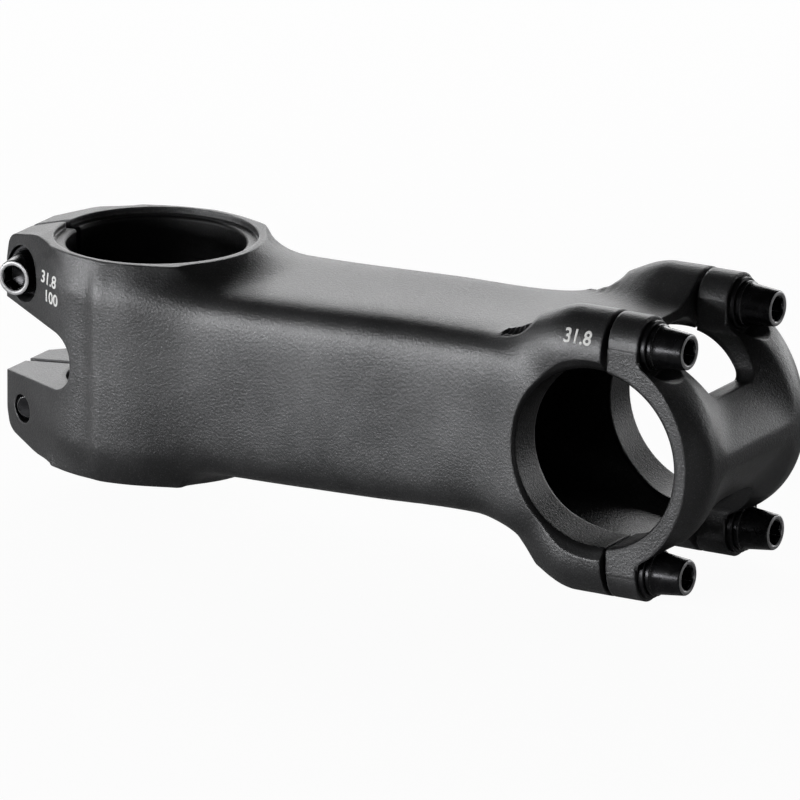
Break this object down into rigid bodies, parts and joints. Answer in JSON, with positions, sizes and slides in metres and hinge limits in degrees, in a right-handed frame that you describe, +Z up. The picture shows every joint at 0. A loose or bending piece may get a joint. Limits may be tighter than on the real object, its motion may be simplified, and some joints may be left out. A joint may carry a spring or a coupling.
{
  "type": "bicycle handlebar stem",
  "caption": "Bicycle stem with a split steerer clamp, a hollow tapering arm and a bar clamp closed by a windowed faceplate on tapered-head screws.",
  "frame": {"origin": "centre of the steerer bore, halfway up the 40 mm stack", "axes": "+X forward from the steerer to the handlebar, +Y to the rider's left, +Z up along the steerer"},
  "size_m": [0.1474, 0.0442, 0.0511],
  "materials": {
    "coated_alloy": "matt black sandblasted and anodised forging",
    "black_steel": "glossy black oxide steel",
    "black_washer": "black oxide steel"
  },
  "bodies": {
    "stem": {"stem_body": "coated_alloy"},
    "faceplate_set": {"faceplate": "coated_alloy", "faceplate_washer_upper_left": "black_washer", "faceplate_washer_upper_right": "black_washer", "faceplate_washer_lower_left": "black_washer", "faceplate_washer_lower_right": "black_washer"},
    "bolt_upper_left": {"faceplate_bolt_upper_left": "black_steel"},
    "bolt_upper_right": {"faceplate_bolt_upper_right": "black_steel"},
    "bolt_lower_left": {"faceplate_bolt_lower_left": "black_steel"},
    "bolt_lower_right": {"faceplate_bolt_lower_right": "black_steel"},
    "washer_steerer_upper": {"steerer_washer_upper": "black_washer"},
    "bolt_steerer_upper": {"steerer_bolt_upper": "black_steel"},
    "washer_steerer_lower": {"steerer_washer_lower": "black_washer"},
    "bolt_steerer_lower": {"steerer_bolt_lower": "black_steel"}
  },
  "joints": [
    {"name": "faceplate_slide", "type": "slide", "parent": "stem", "child": "faceplate_set", "axis": [1, 0, 0], "range_m": [0, 0.0112]},
    {"name": "bolt_upper_left_spin", "type": "hinge", "parent": "faceplate_set", "child": "bolt_upper_left", "pos_m": [0.1085, 0.0155, 0.0202], "axis": [1, 0, 0], "range_deg": [0, 5040]},
    {"name": "bolt_upper_right_spin", "type": "hinge", "parent": "faceplate_set", "child": "bolt_upper_right", "pos_m": [0.1085, -0.0155, 0.0202], "axis": [1, 0, 0], "range_deg": [0, 5040]},
    {"name": "bolt_lower_left_spin", "type": "hinge", "parent": "faceplate_set", "child": "bolt_lower_left", "pos_m": [0.1085, 0.0155, -0.0202], "axis": [1, 0, 0], "range_deg": [0, 5040]},
    {"name": "bolt_lower_right_spin", "type": "hinge", "parent": "faceplate_set", "child": "bolt_lower_right", "pos_m": [0.1085, -0.0155, -0.0202], "axis": [1, 0, 0], "range_deg": [0, 5040]},
    {"name": "steerer_upper_slide", "type": "slide", "parent": "stem", "child": "washer_steerer_upper", "axis": [0, -1, 0], "range_m": [0, 0.0056]},
    {"name": "bolt_steerer_upper_spin", "type": "hinge", "parent": "washer_steerer_upper", "child": "bolt_steerer_upper", "pos_m": [-0.0212, -0.0058, 0.0123], "axis": [0, -1, 0], "range_deg": [0, 2520]},
    {"name": "steerer_lower_slide", "type": "slide", "parent": "stem", "child": "washer_steerer_lower", "axis": [0, 1, 0], "range_m": [0, 0.0056]},
    {"name": "bolt_steerer_lower_spin", "type": "hinge", "parent": "washer_steerer_lower", "child": "bolt_steerer_lower", "pos_m": [-0.0212, 0.0058, -0.0123], "axis": [0, 1, 0], "range_deg": [0, 2520]}
  ],
  "couplings": [
    {"joint": "bolt_upper_left_spin", "follows": "faceplate_slide", "rad_per_m": 7854},
    {"joint": "bolt_upper_right_spin", "follows": "faceplate_slide", "rad_per_m": 7854},
    {"joint": "bolt_lower_left_spin", "follows": "faceplate_slide", "rad_per_m": 7854},
    {"joint": "bolt_lower_right_spin", "follows": "faceplate_slide", "rad_per_m": 7854},
    {"joint": "bolt_steerer_upper_spin", "follows": "steerer_upper_slide", "rad_per_m": 7854},
    {"joint": "bolt_steerer_lower_spin", "follows": "steerer_lower_slide", "rad_per_m": 7854}
  ]
}
